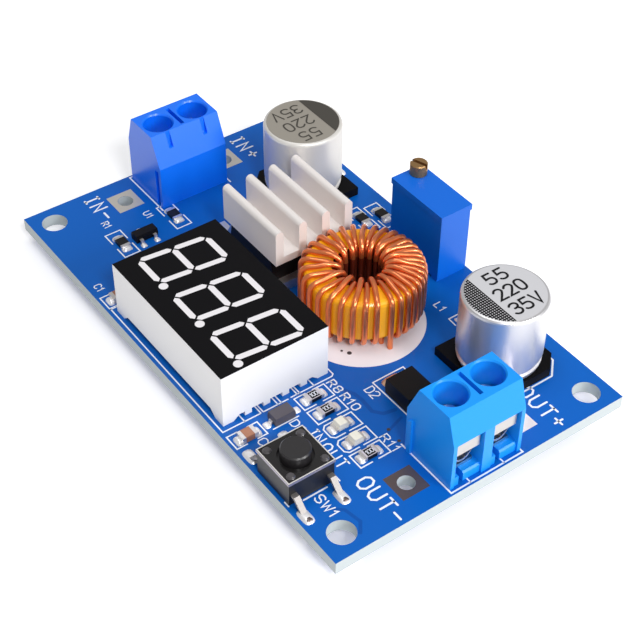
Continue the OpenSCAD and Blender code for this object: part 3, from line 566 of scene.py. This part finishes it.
def wind_a(u):
    """Plan angle of the winding after u turns; the turns crowd on one side."""
    f = u / TURNS
    wave = math.sin(TAU * (f - OPEN_AT)) + math.sin(TAU * OPEN_AT)
    return math.radians(FROM) + math.radians(SWEEP) * (f + CROWD / TAU * wave)


cut = 0.29 * CORNER
mid = (R_OUT + R_IN) / 2 + 0.15
# one turn: radius, height, share of the turn, and what every second turn adds to the first two
turn_pts = [
    (R_OUT, Z_BOT + CORNER, 0, 0, 0), (R_OUT, Z_TOP - CORNER, 0, 0, 0),
    (R_OUT - cut, Z_TOP - cut, 0.06, 0, 0), (R_OUT - CORNER, Z_TOP, 0.12, 0, 0),
    (mid, Z_TOP, 0.24, 0, 0.25 * LIFT), (R_IN + CORNER, Z_TOP, 0.38, 0, LIFT),
    (R_IN + cut, Z_TOP - cut, 0.44, -0.75 * NEST, LIFT),
    (R_IN, Z_TOP - CORNER, 0.5, -NEST, 0.5 * LIFT),
    (R_IN, Z_BOT + CORNER, 0.5, -NEST, -0.5 * LIFT),
    (R_IN + cut, Z_BOT + cut, 0.56, -0.75 * NEST, -LIFT), (R_IN + CORNER, Z_BOT, 0.62, 0, -LIFT),
    (mid, Z_BOT, 0.76, 0, -0.25 * LIFT), (R_OUT - CORNER, Z_BOT, 0.88, 0, 0),
    (R_OUT - cut, Z_BOT + cut, 0.94, 0, 0)]
corners = [(*on_circle(0, 0, R_OUT, math.radians(FROM)), START_DROP)]
for n in range(TURNS * len(turn_pts) - 1):
    t, q = n // len(turn_pts), turn_pts[n % len(turn_pts)]
    second = t % 2
    corners.append((*on_circle(0, 0, q[0] + second * q[3], wind_a(t + q[2])),
                    q[1] + second * q[4]))
# the last end goes down inside the ring
last_a = wind_a(TURNS - END_GAP)
for dr, dz in ((1.5, -0.06), (1.25, -0.3), (1.2, -0.9), (1.2, -1.2)):
    corners.append((*on_circle(0, 0, R_OUT - dr, last_a), Z_BOT + dz))

# each stretch gives two points inside it, or three where it is long, which rounds the corners
LONG, FROM_END = 1.6, 0.6
path = [Vector(corners[0])]
for a, b in zip(corners, corners[1:]):
    a, b = Vector(a), Vector(b)
    length = (b - a).length
    near = FROM_END / length
    for t in (0.25, 0.75) if length < LONG else (near, 0.5, 1 - near):
        path.append(a.lerp(b, t))
path.append(Vector(corners[-1]))


def tube(pts, r, sides):
    """A round bar along points that run about the Z axis."""
    v, f = [], []
    n = len(pts)
    for i, p in enumerate(pts):
        t = (pts[min(i + 1, n - 1)] - pts[max(i - 1, 0)]).normalized()
        e = Vector((-p.y, p.x, 0)).normalized()
        e = (e - t * e.dot(t)).normalized()
        b = t.cross(e)
        for k in range(sides):
            a = TAU * k / sides
            v.append(tuple(p + r * (math.cos(a) * e + math.sin(a) * b)))
    for i in range(n - 1):
        for k in range(sides):
            k2 = (k + 1) % sides
            low, high = i * sides, (i + 1) * sides
            f.append([low + k, low + k2, high + k2, high + k])
    f.append(list(range(sides))[::-1])
    f.append([(n - 1) * sides + k for k in range(sides)])
    return v, f


verts, faces = tube(path, WIRE_R, WIRE_SIDES)
wire = make("winding_wire", [(x + RING[0], y + RING[1], z) for x, y, z in verts], faces,
            "wire", True)
# the light hardly reaches the turns deep in the bore, so they and the core there are darker
wire.data.materials.append(M["wire_deep"])
for p in wire.data.polygons:
    deep = p.center.z / MM - BOARD_TOP < Z_TOP - 1.6
    if deep and math.hypot(*off_centre(p, RING)) < R_IN + 0.3:
        p.material_index = 1
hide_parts("inductor_winding")
coat("inductor_core", lambda p: math.hypot(*off_centre(p, RING)) < 3.8 and abs(p.normal.z) < 0.5,
     "core_bore", "core_deep", "core_yellow")

# ---------- capacitor markings ----------

CAN_R, CAN_PRINT_Z = 4.5, 10.63
CHORD = -2.1  # the dark part of a can's top ends here
NET_X, NET_Y = 0.32, 0.3  # pitch of the net's lines
# text, its place from the can's middle, gap between digits
DIGITS = (("55", -1.8, -0.5, 0.32), ("220", 0.75, -1.25, 0.25), ("35V", 3.4, -1.3, 0.27))

# output capacitor: the dark part is a fine net
hatch = Flat(CAN_PRINT_Z)
cx, cy = OUT_CAN
for k in range(-14, 15):
    x = k * NET_X
    if abs(x) < math.sqrt(CAN_R ** 2 - CHORD ** 2):
        hatch.line([(cx + x, cy - math.sqrt(CAN_R ** 2 - x * x)), (cx + x, cy + CHORD)], 0.17)
for k in range(0, 9):
    y = CHORD - k * NET_Y
    if CAN_R ** 2 - y * y > 0.3:
        half = math.sqrt(CAN_R ** 2 - y * y)
        hatch.line([(cx - half, cy + y), (cx + half, cy + y)], 0.14)
for text, x, y, gap in DIGITS:
    write(hatch, text, cx + x, cy + y, 1.7, 0.27, gap, 1.0, 90, 2)

# input capacitor: the dark part is solid, and all of it is turned half round
solid = Flat(CAN_PRINT_Z)
cx, cy = IN_CAN
a0 = math.degrees(math.asin(-CHORD / CAN_R))
solid.poly([on_circle(cx, cy, CAN_R, math.radians(a0 + (180 - 2 * a0) * i / 24))
            for i in range(25)])
for text, x, y, gap in DIGITS:
    write(solid, text, cx - x, cy - y, 1.7, 0.22, gap, 1.0, -90, 2)
hatch.done("output_capacitor_print", "can_print", "can_aluminium")
solid.done("input_capacitor_print", "print_grey", "can_aluminium")

# ---------- chip numbers, and the pale ceramic that frames them ----------

num, rims = Flat(0.57), Flat(0.56)
for x, y in NUMBERED:
    write(num, "100", x + 0.26, y - 0.42, 0.52, 0.075, 0.12, 1.0, 90)
    for s in ENDS:
        rims.rect(x - 0.6, x + 0.6, y + s * 0.66 - 0.12, y + s * 0.66 + 0.12)
        rims.rect(x + s * 0.55 - 0.05, x + s * 0.55 + 0.05, y - 0.6, y + 0.6)
num.done("chip_numbers", "silk", "chip_black")
rims.done("chip_rims", "ceramic", "chip_black")

# ---------- floor, lights, camera ----------

bpy.ops.mesh.primitive_plane_add(size=6, location=(0, 0, -0.02 * MM))
floor = bpy.context.object
floor.name = "floor"
floor.data.materials.append(M["floor"])


def area(name, loc, size, power):
    """A rectangular lamp that aims at the origin; metres and watts."""
    d = bpy.data.lights.new(name, "AREA")
    d.shape = "RECTANGLE"
    d.size, d.size_y = size
    d.energy = power
    o = bpy.data.objects.new(name, d)
    o.location = loc
    o.rotation_euler = (-Vector(loc)).to_track_quat("-Z", "Y").to_euler()
    bpy.context.scene.collection.objects.link(o)


area("key", (0.41, 0.165, 0.23), (0.16, 0.16), 1.35)
area("front", (0.33, -0.1, 0.36), (0.08, 0.08), 0.8)
area("top", (-0.05, -0.02, 0.5), (0.12, 0.3), 0.6)
world = bpy.data.worlds.new("studio")
world.use_nodes = True
sky = world.node_tree.nodes["Background"].inputs
sky["Color"].default_value = (1, 1, 1, 1)
sky["Strength"].default_value = 0.38
bpy.context.scene.world = world

CAMERA_AT = (0.10416, -0.0743, 0.1175 + BOARD_TOP * MM)
LENS, SENSOR = 82.72, 36  # mm
# the view's turn about the upright axis, its dip below the horizon, and its roll
az, el, roll = math.radians(53.677), math.radians(43.239), math.radians(0.571)
fwd = Vector((-math.sin(az) * math.cos(el), math.cos(az) * math.cos(el), -math.sin(el)))
level = Vector((math.cos(az), math.sin(az), 0))
upright = level.cross(fwd)
right = level * math.cos(roll) + upright * math.sin(roll)
up = -level * math.sin(roll) + upright * math.cos(roll)
lens = bpy.data.cameras.new("camera")
lens.sensor_width = SENSOR
lens.lens = LENS
lens.clip_start = 0.01
camera = bpy.data.objects.new("camera", lens)
pose = Matrix((right, up, -fwd)).transposed().to_4x4()
pose.translation = Vector(CAMERA_AT)
camera.matrix_world = pose
bpy.context.scene.collection.objects.link(camera)
bpy.context.scene.camera = camera
bpy.context.scene.view_settings.view_transform = "Standard"
